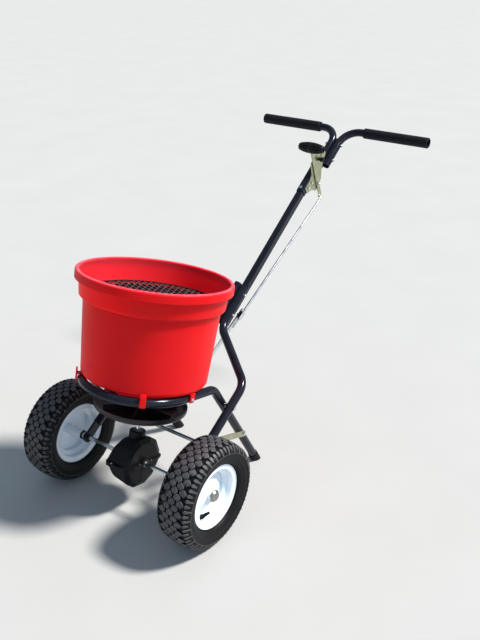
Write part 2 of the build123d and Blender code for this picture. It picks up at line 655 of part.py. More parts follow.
# gear axis along -X from the cone apex, so its pitch circle is at X = -15
GEAR_PLANE = parked(Plane(origin=(0, 0, 0), x_dir=(0, 0, 1), z_dir=(-1, 0, 0)))
with BuildPart() as gear:
    with Locations(*[GEAR_PLANE.location * Location((0, 0, 0), (0, 0, 360 * i / GEAR_TEETH)) for i in range(GEAR_TEETH)]):
        add(gear_tooth)
    with BuildSketch(SECTION):
        Polygon((-17.7, 59.7), (-13.7, 45.2), (-13.0, 44.0), (-13.0, 18), (-11, 18), (-11, AXLE_R + 0.03), (-34.4, AXLE_R + 0.03), (-34.4, 17), (-27, 19), (-24, 59.7), align=None)
    revolve(axis=AXLE_AXIS)
    with Locations(at(GEAR_PIN_X, 0, 0)):
        Cylinder(2.05, 60, mode=Mode.SUBTRACT)
save(gear, "drive_gear")

with BuildPart() as gear_pin:
    with Locations(at(GEAR_PIN_X, 0, -17)):
        Cylinder(2.0, 34, align=BASE)
save(gear_pin, "drive_gear_pin")

pinion_tooth = bevel_tooth(PINION_PITCH_R, GEAR_PITCH_R)
# half a pitch off -X, so that a gap faces the gear's top tooth
PINION_PLANE = parked(Plane(origin=(0, 0, 0), x_dir=(cos(radians(18)), sin(radians(18)), 0), z_dir=(0, 0, 1)))
with BuildPart() as pinion:
    with Locations(*[PINION_PLANE.location * Location((0, 0, 0), (0, 0, 360 * i / PINION_TEETH)) for i in range(PINION_TEETH)]):
        add(pinion_tooth)
    with BuildSketch(SECTION):
        Polygon((SHAFT_R + 0.03, 45.0), (9.2, 45.0), (12.05, 60.4), (12.05, 65.9), (SHAFT_R + 0.03, 65.9), align=None)
    revolve(axis=HOPPER_AXIS)
save(pinion, "pinion")

# ------------------------------------------------------------------- pole and handle
HANDLE_BOLTS = (556, 622)
PLATE_SCREWS = ((412, -3), (435, -3))
with BuildPart() as handle_pole:
    with BuildSketch(at(0, *pole(-150, 0), z_dir=(0, PC, PS), x_dir=(1, 0, 0))):
        RectangleRounded(POLE_W, POLE_W, 2.5)
        RectangleRounded(POLE_W - 2 * POLE_WALL, POLE_W - 2 * POLE_WALL, 0.9, mode=Mode.SUBTRACT)
    extrude(amount=665)
    # tongue welded on top of the lower end, between the frame tubes
    with BuildSketch(side(-1.5)):
        with Locations((-80, 20.6)):
            RectangleRounded(130, 24, 6)
        with Locations((-80, 12)):
            Rectangle(130, 6)
        with Locations(*[(a, FRAME_N) for a in FRAME_BOLTS]):
            Circle(3.2, mode=Mode.SUBTRACT)
    extrude(amount=3.0)
    for a, n in PLATE_SCREWS:
        with Locations(along_x(10, *pole(a, n))):
            Cylinder(2.7, 10, mode=Mode.SUBTRACT)
    with Locations(at(0, *pole(397, 0), z_dir=(0, -PS, PC), x_dir=(1, 0, 0))):
        Cylinder(3.2, 60, mode=Mode.SUBTRACT)
save(handle_pole, "handle_pole")

frame_bolt = hex_bolt(3.0, 10.0, 4.2, 54.2, 5.0)
with BuildPart() as pole_bolts:
    with Locations(*[at(-27.1, *pole(a, FRAME_N), z_dir=(1, 0, 0), x_dir=(0, 1, 0)) for a in FRAME_BOLTS]):
        add(frame_bolt)
save(pole_bolts, "pole_bolts")

HANDLE_X = 14.4
with BuildPart() as bracket:
    with BuildSketch(at(0, *pole(384, 0), z_dir=(0, PC, PS), x_dir=(1, 0, 0))):
        RectangleRounded(SLEEVE_W, SLEEVE_W, 3.5)
        RectangleRounded(POLE_W + 0.2, POLE_W + 0.2, 2.6, mode=Mode.SUBTRACT)
    extrude(amount=136)
    # tongue between the two handle tubes
    with BuildSketch(side(-1.5)):
        with BuildLine():
            FilletPolyline((470, -11.5), (520, -11.5), (560, -14), (648, -14), (648, -38), (540, -38), (470, -20), radius=[0, 0, 5, 10, 10, 0, 0], close=True)
        make_face()
        with Locations(*[(a, HANDLE_N) for a in HANDLE_BOLTS]):
            Circle(3.2, mode=Mode.SUBTRACT)
    extrude(amount=3.0)
    for a, n in PLATE_SCREWS:
        with Locations(along_x(12, *pole(a, n))):
            Cylinder(2.7, 10, mode=Mode.SUBTRACT)
    with Locations(at(0, *pole(397, 0), z_dir=(0, -PS, PC), x_dir=(1, 0, 0))):
        Cylinder(3.2, 60, mode=Mode.SUBTRACT)
save(bracket, "handle_bracket")

for name, sx in (("left", -1), ("right", 1)):
    with BuildPart() as handle_tube:
        with BuildLine(MACHINE) as path:
            FilletPolyline(
                (sx * HANDLE_X, *pole(529, HANDLE_N)),
                (sx * HANDLE_X, *pole(HANDLE_A, HANDLE_N)),
                (sx * (GRIP_X1 - 2), *pole(HANDLE_A, HANDLE_N)),
                radius=[60],
            )
        with BuildSketch(Plane(origin=path.line @ 0, z_dir=path.line % 0)):
            Circle(HANDLE_R)
            Circle(HANDLE_IN, mode=Mode.SUBTRACT)
        sweep(path=path.line)
        for a in HANDLE_BOLTS:
            with Locations(along_x(sx * HANDLE_X, *pole(a, HANDLE_N))):
                Cylinder(3.2, 40, mode=Mode.SUBTRACT)
    save(handle_tube, f"{name}_handle_tube")

    with BuildPart() as grip:
        with BuildSketch(at(sx * GRIP_X0, *pole(HANDLE_A, HANDLE_N), z_dir=(sx, 0, 0), x_dir=(0, 1, 0))):
            Circle(GRIP_R)
            Circle(HANDLE_R + 0.05, mode=Mode.SUBTRACT)
        extrude(amount=GRIP_X1 - GRIP_X0)
        fillet(grip.edges().filter_by(GeomType.CIRCLE).sort_by(SortBy.RADIUS)[-2:], 3.0)
    save(grip, f"{name}_grip")

handle_bolt = hex_bolt(3.0, 10.0, 4.2, 54.4, 5.0)
with BuildPart() as handle_bolts:
    with Locations(*[at(-27.2, *pole(a, HANDLE_N), z_dir=(1, 0, 0), x_dir=(0, 1, 0)) for a in HANDLE_BOLTS]):
        add(handle_bolt)
save(handle_bolts, "handle_bolts")

sleeve_bolt = hex_bolt(3.0, 10.0, 4.2, 26.2, 5.0)
with BuildPart() as sleeve_bolts:
    with Locations(at(0, *pole(397, 13.1), z_dir=(0, PS, -PC), x_dir=(1, 0, 0))):
        add(sleeve_bolt)
save(sleeve_bolts, "bracket_bolt")

# ------------------------------------------------------------------- rate control
STOP_TRAVEL = 20.0
plate_outline = [
    (396, -14), (420, -22), (436, -46), (462, -50), (486, -36), (504, -12), (526, 2), (552, 14),
    (552, 44), (520, 56), (488, 60), (466, 52), (452, 20), (430, 11), (396, 11),
]
with BuildPart() as gauge:
    with BuildSketch(side(13.1)):
        with BuildLine():
            FilletPolyline(*plate_outline, radius=5, close=True)
        make_face()
        with Locations(PIVOT):
            Circle(4.1, mode=Mode.SUBTRACT)
        with Locations(*PLATE_SCREWS):
            Circle(2.6, mode=Mode.SUBTRACT)
        with Locations((STOP[0] + STOP_TRAVEL / 2, STOP[1])):
            SlotOverall(STOP_TRAVEL + 8.0, 6.4, mode=Mode.SUBTRACT)
    extrude(amount=2.5)
save(gauge, "gauge_plate")

with BuildPart() as plate_screws:
    for a, n in PLATE_SCREWS:
        with BuildSketch(along_x(15.7, *pole(a, n))) as head:
            RegularPolygon(4.6, 6, major_radius=False)
        extrude(head.sketch, amount=3.4)
        with Locations(along_x(6.5, *pole(a, n))):
            Cylinder(2.5, 10, align=BASE)
save(plate_screws, "gauge_plate_screws")

with BuildPart() as pivot_bolt:
    with BuildSketch(along_x(8.0, *pole(*PIVOT))) as head:
        RegularPolygon(6.5, 6, major_radius=False)
    extrude(head.sketch, amount=5.0)
    with Locations(along_x(8.0, *pole(*PIVOT))):
        Cylinder(4.0, 20, align=BASE)
    with Locations(along_x(15.7, *pole(*PIVOT))):
        Cylinder(7.5, 1.1, align=BASE)
    with BuildSketch(along_x(20.3, *pole(*PIVOT))) as nut:
        RegularPolygon(6.5, 6, major_radius=False)
    extrude(nut.sketch, amount=5.5)
save(pivot_bolt, "lever_pivot_bolt")

LEVER_DX, LEVER_DN = KNOB[0] - LEVER_PIN[0], KNOB[1] - LEVER_PIN[1]
LEVER_LEN = (LEVER_DX ** 2 + LEVER_DN ** 2) ** 0.5
LC_, LS_ = LEVER_DX / LEVER_LEN, LEVER_DN / LEVER_LEN
LEVER_PLANE = parked(Plane(
    origin=(17.0, *pole(*LEVER_PIN)), x_dir=(0, PC * LC_ - PS * LS_, PS * LC_ + PC * LS_), z_dir=(1, 0, 0)
))
PIVOT_ON = ((PIVOT[0] - LEVER_PIN[0]) * LC_ + (PIVOT[1] - LEVER_PIN[1]) * LS_,
            -(PIVOT[0] - LEVER_PIN[0]) * LS_ + (PIVOT[1] - LEVER_PIN[1]) * LC_)
with BuildPart() as lever:
    with BuildSketch(LEVER_PLANE):
        with Locations((LEVER_LEN / 2, 0)):
            SlotCenterToCenter(LEVER_LEN, 16)
        with Locations(PIVOT_ON):
            Circle(4.06, mode=Mode.SUBTRACT)
        Circle(4.06, mode=Mode.SUBTRACT)
    extrude(amount=3.0)
save(lever, "control_lever")

with BuildPart() as knob:
    with BuildSketch(parked(Plane(origin=(18.5, *pole(*KNOB)), x_dir=(1, 0, 0), z_dir=(0, PC, PS)))):
        with BuildLine():
            Polyline((-45, 0), (-45, 9.5), (-43, 12))
            ThreePointArc((-43, 12), (0, 18.5), (43, 12))
            Polyline((43, 12), (45, 9.5), (45, 6.5), (31, 6.5), (31, 0), (-45, 0))
        make_face()
    revolve(axis=Axis(at(0, *pole(*KNOB)).origin, (1, 0, 0)))
    # slot that the lever's end is pressed into
    with BuildSketch(LEVER_PLANE.offset(-0.05)):
        with Locations((LEVER_LEN / 2, 0)):
            SlotCenterToCenter(LEVER_LEN, 16.1)
    extrude(amount=3.1, mode=Mode.SUBTRACT)
save(knob, "lever_knob")

with BuildPart() as stop:
    with Locations(along_x(8.0, *pole(*STOP))):
        Cylinder(3.0, 28, align=BASE)
    with BuildSketch(along_x(8.0, *pole(*STOP))) as nut:
        RegularPolygon(5.0, 6, major_radius=False)
    extrude(nut.sketch, amount=4.9)
    with Locations(along_x(15.8, *pole(*STOP))):
        Cylinder(6.0, 8.2, align=BASE)
    with Locations(along_x(24.0, *pole(*STOP))):
        Cylinder(8.5, 9.0, align=BASE)
save(stop, "rate_stop")


def rod_point(t):
    y, z = pole(*LEVER_PIN)
    return (y + ROD_DIR[0] * t, z + ROD_DIR[1] * t)


with BuildPart() as rod:
    with BuildLine(MACHINE) as path:
        FilletPolyline((13.0, *rod_point(0)), (ROD_X + 1.5, *rod_point(0)), (ROD_X + 1.5, *rod_point(520)), radius=[4.4])
    with BuildSketch(Plane(origin=path.line @ 0, z_dir=path.line % 0)):
        Circle(4.0)
    sweep(path=path.line)
    with Locations(at(ROD_X + 1.5, *rod_point(519), z_dir=(0, *ROD_DIR), x_dir=(1, 0, 0))):
        Cylinder(3.0, 72, align=BASE)
save(rod, "control_rod")

with BuildPart() as clip:
    with Locations(along_x(13.6, *rod_point(0))):
        Cylinder(7.0, 2.2, align=BASE)
        Cylinder(4.03, 2.2, align=BASE, mode=Mode.SUBTRACT)
save(clip, "rod_clip")

ROD_PERP = (-ROD_DIR[1], ROD_DIR[0])
with BuildPart() as clamp:
    with BuildSketch(parked(Plane(origin=(20.7, *rod_point(540)), x_dir=(0, *ROD_DIR), z_dir=(1, 0, 0)))):
        RectangleRounded(30, 15, 3)
    extrude(amount=10.4)
    with Locations(at(ROD_X + 1.5, *rod_point(500), z_dir=(0, *ROD_DIR), x_dir=(1, 0, 0))):
        Cylinder(3.05, 90, align=BASE, mode=Mode.SUBTRACT)
    with Locations(along_x(16.4, *rod_point(540))):
        Cylinder(2.6, 5.0, align=BASE)
    with Locations(along_x(13.4, *rod_point(540))):
        Cylinder(5.0, 4.0, align=BASE)
save(clamp, "rod_clamp")

with BuildPart() as link:
    with BuildSketch(parked(Plane(origin=(17.5, *rod_point(LINK_T)), x_dir=(0, -ROD_DIR[0], -ROD_DIR[1]), z_dir=(1, 0, 0)))):
        with Locations(((LINK_T - 522) / 2, 0)):
            SlotCenterToCenter(LINK_T - 522, 14)
        with Locations((LINK_T - 540, 0)):
            Circle(2.7, mode=Mode.SUBTRACT)
    extrude(amount=3.0)
    # pin into the shutter's ear, and its retaining head
    with Locations(along_x(8.5, *rod_point(LINK_T))):
        Cylinder(2.7, 9.5, align=BASE)
    with Locations(along_x(8.5, *rod_point(LINK_T))):
        Cylinder(4.2, 2.4, align=BASE)
save(link, "shutter_link")
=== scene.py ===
import json
import math

import bmesh
import bpy
from mathutils import Matrix, Vector


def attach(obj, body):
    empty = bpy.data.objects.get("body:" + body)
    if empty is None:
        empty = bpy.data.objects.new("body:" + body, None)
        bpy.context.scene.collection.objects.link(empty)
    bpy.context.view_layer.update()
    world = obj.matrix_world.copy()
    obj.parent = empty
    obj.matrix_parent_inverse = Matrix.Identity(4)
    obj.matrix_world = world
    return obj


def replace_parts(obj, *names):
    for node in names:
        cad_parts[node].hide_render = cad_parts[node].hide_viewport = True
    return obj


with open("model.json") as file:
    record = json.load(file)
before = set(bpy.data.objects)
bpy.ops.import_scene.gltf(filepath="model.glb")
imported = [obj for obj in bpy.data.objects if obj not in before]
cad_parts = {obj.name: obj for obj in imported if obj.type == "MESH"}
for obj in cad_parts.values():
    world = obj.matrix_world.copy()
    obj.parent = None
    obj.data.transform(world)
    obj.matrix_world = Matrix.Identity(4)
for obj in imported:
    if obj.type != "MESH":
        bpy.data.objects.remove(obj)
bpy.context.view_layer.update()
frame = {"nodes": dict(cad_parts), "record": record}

N = frame["nodes"]
scene = bpy.context.scene

# ------------------------------------------------------------------ the machine's own frame
Y_AXLE, WHEEL_R, LEAN = -0.490, 0.152, math.radians(13.5)
CL, SL = math.cos(LEAN), math.sin(LEAN)
WHEEL_X = 0.2564
PC, PS = math.cos(math.radians(50.1)), math.sin(math.radians(50.1))


def W(x, y, z):
    """Machine millimetres (axle centre, hopper axis up) to metres in the part's frame."""
    x, y, z = x / 1000, y / 1000, z / 1000
    return Vector((x, Y_AXLE + y * CL + z * SL, WHEEL_R - y * SL + z * CL))


# ------------------------------------------------------------------ materials
def new_mat(name):
    m = bpy.data.materials.new(name)
    m.use_nodes = True
    nt = m.node_tree
    for n in list(nt.nodes):
        nt.nodes.remove(n)
    out = nt.nodes.new("ShaderNodeOutputMaterial")
    b = nt.nodes.new("ShaderNodeBsdfPrincipled")
    nt.links.new(b.outputs["BSDF"], out.inputs["Surface"])
    return m, nt, b


def coords(nt, scale=(1, 1, 1)):
    tc = nt.nodes.new("ShaderNodeTexCoord")
    mp = nt.nodes.new("ShaderNodeMapping")
    mp.inputs["Scale"].default_value = scale
    nt.links.new(tc.outputs["Object"], mp.inputs["Vector"])
    return mp.outputs["Vector"]


def noise(nt, vec, scale, detail=4.0, rough=0.55):
    n = nt.nodes.new("ShaderNodeTexNoise")
    n.inputs["Scale"].default_value = scale
    n.inputs["Detail"].default_value = detail
    n.inputs["Roughness"].default_value = rough
    nt.links.new(vec, n.inputs["Vector"])
    return n.outputs["Fac"]


def ramp(nt, fac, stops):
    r = nt.nodes.new("ShaderNodeValToRGB")
    e = r.color_ramp.elements
    e[0].position, e[0].color = stops[0][0], (*stops[0][1], 1)
    e[1].position, e[1].color = stops[-1][0], (*stops[-1][1], 1)
    for p, c in stops[1:-1]:
        x = e.new(p)
        x.color = (*c, 1)
    nt.links.new(fac, r.inputs["Fac"])
    return r.outputs["Color"]


def remap(nt, fac, a, b, lo=0.3, hi=0.7):
    r = nt.nodes.new("ShaderNodeMapRange")
    r.inputs["From Min"].default_value = lo
    r.inputs["From Max"].default_value = hi
    r.inputs["To Min"].default_value = a
    r.inputs["To Max"].default_value = b
    nt.links.new(fac, r.inputs["Value"])
    return r.outputs["Result"]


def bump(nt, b, height, strength, distance, chain=None):
    n = nt.nodes.new("ShaderNodeBump")
    n.inputs["Strength"].default_value = strength
    n.inputs["Distance"].default_value = distance
    nt.links.new(height, n.inputs["Height"])
    if chain is not None:
        nt.links.new(chain, n.inputs["Normal"])
    nt.links.new(n.outputs["Normal"], b.inputs["Normal"])
    return n.outputs["Normal"]


def mix(nt, fac, a, c):
    m = nt.nodes.new("ShaderNodeMix")
    m.data_type = "RGBA"
    nt.links.new(fac, m.inputs["Factor"])
    for sock, v in ((m.inputs[6], a), (m.inputs[7], c)):
        if isinstance(v, tuple):
            sock.default_value = (*v, 1)
        else:
            nt.links.new(v, sock)
    return m.outputs[2]


def math_node(nt, op, *args):
    n = nt.nodes.new("ShaderNodeMath")
    n.operation = op
    for sock, a in zip(n.inputs, args):
        if isinstance(a, (int, float)):
            sock.default_value = a
        else:
            nt.links.new(a, sock)
    return n.outputs[0]


def hopper_rz(nt):
    """Distance from the hopper's axis and height along it, in metres."""
    tc = nt.nodes.new("ShaderNodeTexCoord")
    mp = nt.nodes.new("ShaderNodeMapping")
    mp.inputs["Rotation"].default_value = (LEAN, 0.0, 0.0)
    mp.inputs["Location"].default_value = (0.0, -(Y_AXLE * CL - WHEEL_R * SL), -(Y_AXLE * SL + WHEEL_R * CL))
    nt.links.new(tc.outputs["Object"], mp.inputs["Vector"])
    sp = nt.nodes.new("ShaderNodeSeparateXYZ")
    nt.links.new(mp.outputs["Vector"], sp.inputs["Vector"])
    x, y, z = sp.outputs
    xx = math_node(nt, "MULTIPLY", x, x)
    return math_node(nt, "SQRT", math_node(nt, "MULTIPLY_ADD", y, y, xx)), z


def red_plastic():
    m, nt, b = new_mat("moulded_red")
    v = coords(nt)
    big = noise(nt, v, 5.0, 2)
    fine = noise(nt, v, 260.0, 3)
    col = ramp(nt, big, [(0.25, (0.70, 0.0060, 0.0085)), (0.55, (0.77, 0.0080, 0.0110)), (0.8, (0.81, 0.0095, 0.0125))])
    # painted shade: the inside wall under the screen's ledge is darkened to near black, standing in for the shade the
    # screen and wall cast there
    r, z = hopper_rz(nt)
    wall = math_node(nt, "MULTIPLY_ADD", z, 0.0569, 0.1712 - 0.0569 * 0.2552)
    inside = remap(nt, math_node(nt, "SUBTRACT", r, wall), 1.0, 0.0, 0.0006, 0.0018)
    below = remap(nt, z, 1.0, 0.0, 0.4660, 0.4692)
    above = remap(nt, z, 0.0, 1.0, 0.2560, 0.2600)
    painted_shade_under_screen = math_node(nt, "MULTIPLY", math_node(nt, "MULTIPLY", inside, below), above)
    painted_shade_under_screen = math_node(nt, "MULTIPLY", painted_shade_under_screen, remap(nt, noise(nt, v, 30.0, 4), 0.93, 1.0))
    col = mix(nt, painted_shade_under_screen, col, (0.006, 0.0022, 0.0026))
    # paler pink on the upper inside wall and rim: partly sun fading, partly painted sheen standing in for sun and sky
    # light on the plastic
    lip = math_node(nt, "MULTIPLY_ADD", z, 0.11498, 0.14080)
    fade_and_painted_sheen = remap(nt, math_node(nt, "SUBTRACT", r, lip), 1.0, 0.0, 0.0010, 0.0030)
    fade_and_painted_sheen = math_node(nt, "MULTIPLY", fade_and_painted_sheen, remap(nt, z, 0.0, 1.0, 0.4680, 0.4760))
    fade_and_painted_sheen = math_node(nt, "MAXIMUM", fade_and_painted_sheen, remap(nt, z, 0.0, 1.0, 0.5350, 0.5395))
    fade_and_painted_sheen = math_node(nt, "MULTIPLY", fade_and_painted_sheen, remap(nt, noise(nt, v, 9.0, 4), 0.55, 0.95))
    col = mix(nt, fade_and_painted_sheen, col, (0.88, 0.026, 0.042))
    # painted highlight: the crown of the rim is painted light pink where the sun's highlight lies on its rounding
    painted_rim_highlight = math_node(nt, "MULTIPLY", remap(nt, z, 0.0, 1.0, 0.5372, 0.5406), remap(nt, noise(nt, v, 24.0, 5), 0.45, 0.90))
    col = mix(nt, painted_rim_highlight, col, (0.93, 0.105, 0.155))
    nt.links.new(col, b.inputs["Base Color"])
    nt.links.new(remap(nt, fine, 0.42, 0.52), b.inputs["Roughness"])
    b.inputs["Specular IOR Level"].default_value = 0.10
    # thin enough for the sun on the inside wall to glow through
    b.inputs["Subsurface Weight"].default_value = 1.0
    b.inputs["Subsurface Radius"].default_value = (0.020, 0.0012, 0.0012)
    b.inputs["Subsurface Scale"].default_value = 0.8
    c1 = bump(nt, b, fine, 0.06, 0.0004)
    bump(nt, b, noise(nt, v, 18.0, 2), 0.05, 0.003, c1)
    return m


def black_paint():
    m, nt, b = new_mat("black_powder_coat")
    v = coords(nt)
    peel = noise(nt, v, 260.0, 2)
    wear = noise(nt, v, 20.0, 4)
    # the blue cast of the black and the blue specular tint stand in for sky sheen on the tubes: painted reflection; the
    # noise only varies tone and roughness
    nt.links.new(ramp(nt, wear, [(0.3, (0.0062, 0.0070, 0.0125)), (0.72, (0.0120, 0.0135, 0.0225))]), b.inputs["Base Color"])
    nt.links.new(remap(nt, wear, 0.16, 0.24), b.inputs["Roughness"])
    b.inputs["Specular IOR Level"].default_value = 0.27
    b.inputs["Specular Tint"].default_value = (0.82, 0.88, 1.0, 1.0)
    bump(nt, b, peel, 0.03, 0.0004)
    return m


def zinc(name="zinc_plate", tint=(0.78, 0.80, 0.83), dark=(0.58, 0.595, 0.615), r0=0.14, r1=0.28, metal=1.0):
    m, nt, b = new_mat(name)
    v = coords(nt)
    cloud = noise(nt, v, 42.0, 5)
    fine = noise(nt, v, 700.0, 3)
    nt.links.new(ramp(nt, cloud, [(0.30, dark), (0.70, tint)]), b.inputs["Base Color"])
    b.inputs["Metallic"].default_value = metal
    nt.links.new(remap(nt, cloud, r1, r0), b.inputs["Roughness"])
    bump(nt, b, fine, 0.06, 0.0003)
    return m


def black_plastic(name="black_moulded", r0=0.42, r1=0.54, lo=(0.0045, 0.0045, 0.0055), hi=(0.010, 0.010, 0.011), grain=520.0, strength=0.10, spec=0.26):
    m, nt, b = new_mat(name)
    b.inputs["Specular IOR Level"].default_value = spec
    v = coords(nt)
    fine = noise(nt, v, grain, 3)
    big = noise(nt, v, 26.0, 4)
    nt.links.new(ramp(nt, big, [(0.3, lo), (0.7, hi)]), b.inputs["Base Color"])
    nt.links.new(remap(nt, big, r0, r1), b.inputs["Roughness"])
    bump(nt, b, fine, strength, 0.0005)
    return m


def screen_strands():
    """Near-black strands with a lighter upper face: painted highlight on the upper faces, painted shade on the sides.
    """
    m, nt, b = new_mat("screen_strands")
    b.inputs["Specular IOR Level"].default_value = 0.30
    v = coords(nt)
    big = noise(nt, v, 60.0, 4)
    r, z = hopper_rz(nt)
    # painted light: only the upper 0.45 mm of each strand gets the lighter colour, the sides stay near black as painted
    # shade
    top = remap(nt, z, 0.0, 1.0, 0.47560, 0.47605)
    ring = remap(nt, r, 1.0, 0.0, 0.1838, 0.1852)
    pale = ramp(nt, big, [(0.3, (0.052, 0.048, 0.056)), (0.7, (0.100, 0.092, 0.104))])
    nt.links.new(mix(nt, math_node(nt, "MULTIPLY", top, ring), (0.0040, 0.0030, 0.0036), pale), b.inputs["Base Color"])
    nt.links.new(remap(nt, big, 0.40, 0.52), b.inputs["Roughness"])
    bump(nt, b, noise(nt, v, 520.0, 3), 0.06, 0.0005)
    return m


def tyre_rubber(name, lo, mid, hi, r0, r1, spec=0.14):
    m, nt, b = new_mat(name)
    b.inputs["Specular IOR Level"].default_value = spec
    v = coords(nt)
    dust = noise(nt, v, 46.0, 6, 0.65)
    fine = noise(nt, v, 900.0, 3)
    nt.links.new(ramp(nt, dust, [(0.28, lo), (0.55, mid), (0.78, hi)]), b.inputs["Base Color"])
    nt.links.new(remap(nt, dust, r0, r1), b.inputs["Roughness"])
    bump(nt, b, fine, 0.16, 0.0005)
    return m


def white_enamel():
    m, nt, b = new_mat("white_enamel")
    v = coords(nt)
    big = noise(nt, v, 16.0, 5)
    peel = noise(nt, v, 300.0, 2)
    nt.links.new(ramp(nt, big, [(0.25, (0.74, 0.84, 0.94)), (0.6, (0.82, 0.89, 0.965)), (0.8, (0.86, 0.915, 0.975))]), b.inputs["Base Color"])
    nt.links.new(remap(nt, big, 0.30, 0.20), b.inputs["Roughness"])
    b.inputs["Coat Weight"].default_value = 0.4
    b.inputs["Coat Roughness"].default_value = 0.08
    bump(nt, b, peel, 0.04, 0.0005)
    return m


def foam():
    m, nt, b = new_mat("closed_cell_foam")
    b.inputs["Specular IOR Level"].default_value = 0.22
    b.inputs["Specular Tint"].default_value = (0.80, 0.88, 1.0, 1.0)
    v = coords(nt)
    cells = nt.nodes.new("ShaderNodeTexVoronoi")
    cells.inputs["Scale"].default_value = 620.0
    nt.links.new(v, cells.inputs["Vector"])
    big = noise(nt, v, 30.0, 5)
    nt.links.new(ramp(nt, big, [(0.3, (0.0050, 0.0054, 0.0075)), (0.7, (0.0100, 0.0106, 0.0135))]), b.inputs["Base Color"])
    nt.links.new(remap(nt, big, 0.58, 0.70), b.inputs["Roughness"])
    c = bump(nt, b, cells.outputs["Distance"], 0.16, 0.0006)
    bump(nt, b, noise(nt, v, 120.0, 3), 0.06, 0.001, c)
    return m


RED = red_plastic()
PAINT = black_paint()
ZINC = zinc()
# olive-yellow tint on the zinc plates and braces: painted reflection of green grass
PLATE = zinc("olive_zinc_painted_grass_reflection", (0.50, 0.52, 0.36), (0.37, 0.39, 0.26), 0.32, 0.46)
DULL = zinc("dull_steel", (0.40, 0.39, 0.34), (0.29, 0.285, 0.24), 0.26, 0.40)
PLASTIC = black_plastic()
DISH = black_plastic("dish_plastic", 0.32, 0.44, (0.008, 0.007, 0.011), (0.014, 0.012, 0.018), 400.0, 0.05, 0.42)
SCREEN = screen_strands()
DARK_CASE = black_plastic("case_plastic", 0.44, 0.56, (0.0035, 0.0036, 0.0052), (0.0075, 0.0077, 0.0100), 300.0, 0.10, 0.20)
KNOB_MAT = black_plastic("knob_plastic", 0.36, 0.46, (0.0035, 0.0035, 0.0045), (0.007, 0.007, 0.008), 800.0, 0.06)
RUBBER = black_plastic("moulded_rubber", 0.55, 0.70, (0.0045, 0.0045, 0.0055), (0.009, 0.009, 0.0095), 700.0, 0.20, 0.15)
SIDEWALL = tyre_rubber("tyre_sidewall", (0.0050, 0.0050, 0.0060), (0.0075, 0.0075, 0.0085), (0.016, 0.015, 0.014), 0.42, 0.58)
TREAD = tyre_rubber("tyre_tread", (0.0040, 0.0040, 0.0055), (0.0065, 0.0065, 0.0080), (0.014, 0.013, 0.013), 0.50, 0.70)
# the block tops get a lighter, bluish rubber than the groove walls (TREAD): partly dust, partly painted light on the
# tops and painted shade in the grooves
TREAD_TOP = tyre_rubber("tyre_tread_top", (0.016, 0.017, 0.023), (0.037, 0.037, 0.046), (0.105, 0.103, 0.112), 0.60, 0.70, 1.0)
ENAMEL = white_enamel()
FOAM = foam()
IRON = zinc("gear_iron", (0.20, 0.20, 0.20), (0.12, 0.12, 0.12), 0.35, 0.55)

FINISH = {
    "red_plastic": RED, "black_plastic": PLASTIC, "black_paint": PAINT, "white_paint": ENAMEL, "zinc": ZINC,
    "gear_metal": IRON, "bronze": IRON, "foam": FOAM, "black_rubber": RUBBER, "tyre_rubber": SIDEWALL,
}
slot_of = {s["node"]: s["material_slot"] for s in frame["record"]["subparts"]}
special = {
    "debris_screen": SCREEN, "lever_knob": KNOB_MAT, "axle_caps": DULL, "rate_stop": KNOB_MAT, "impeller": DISH,
    "gauge_plate": PLATE, "control_lever": PLATE, "left_leg_brace": PLATE, "right_leg_brace": PLATE,
    "gearbox_upper": DARK_CASE, "gearbox_lower": DARK_CASE, "shutter_plate": DULL, "shutter_link": ZINC, "rod_clamp": ZINC,
}
for name, o in N.items():
    m = special.get(name, FINISH[slot_of[name]])
    o.data.materials.clear()
    o.data.materials.append(m)


# ------------------------------------------------------------------ mesh helpers
def make(name, bm, mats, body, smooth_deg=35.0):
    me = bpy.data.meshes.new(name)
    bm.normal_update()
    bm.to_mesh(me)
    bm.free()
    me.polygons.foreach_set("use_smooth", [True] * len(me.polygons))
    me.set_sharp_from_angle(angle=math.radians(smooth_deg))
    o = bpy.data.objects.new(name, me)
    scene.collection.objects.link(o)
    for m in mats:
        me.materials.append(m)
    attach(o, body)
    return o


def chaikin(pts, times=2, closed=False):
    for _ in range(times):
        out = []
        n = len(pts)
        rng = range(n) if closed else range(n - 1)
        if not closed:
            out.append(pts[0])
        for i in rng:
            a, b = pts[i], pts[(i + 1) % n]
            out.append(tuple(0.75 * p + 0.25 * q for p, q in zip(a, b)))
            out.append(tuple(0.25 * p + 0.75 * q for p, q in zip(a, b)))
        if not closed:
            out.append(pts[-1])
        pts = out
    return pts


def lathe(bm, prof, place, segs, closed=True, mat=0):
    """Revolves (axial, radius) points; place(axial, radius, angle) gives the position."""
    rings = []
    for u, r in prof:
        if r < 1e-9:
            rings.append([bm.verts.new(place(u, 0, 0))])
        else:
            rings.append([bm.verts.new(place(u, r, 2 * math.pi * k / segs)) for k in range(segs)])
    n = len(rings)
    for i in range(n if closed else n - 1):
        a, b = rings[i], rings[(i + 1) % n]
        for k in range(segs):
            k2 = (k + 1) % segs
            vs = []
            for v in (a[k % len(a)], a[k2 % len(a)], b[k2 % len(b)], b[k % len(b)]):
                if v not in vs:
                    vs.append(v)
            if len(vs) >= 3:
                f = bm.faces.new(vs)
                f.material_index = mat
    return rings


# ------------------------------------------------------------------ wheels
TREAD_N = 32


def envelope(u):
    """Outside radius of the tread at axial offset u (mm)."""
    a = abs(u)
    r = 151.6 - 5.4 * (a / 43.5) ** 2
    if a > 43.5:
        r = 146.2 - 1.25 * (a - 43.5) - 0.10 * (a - 43.5) ** 2
    return r


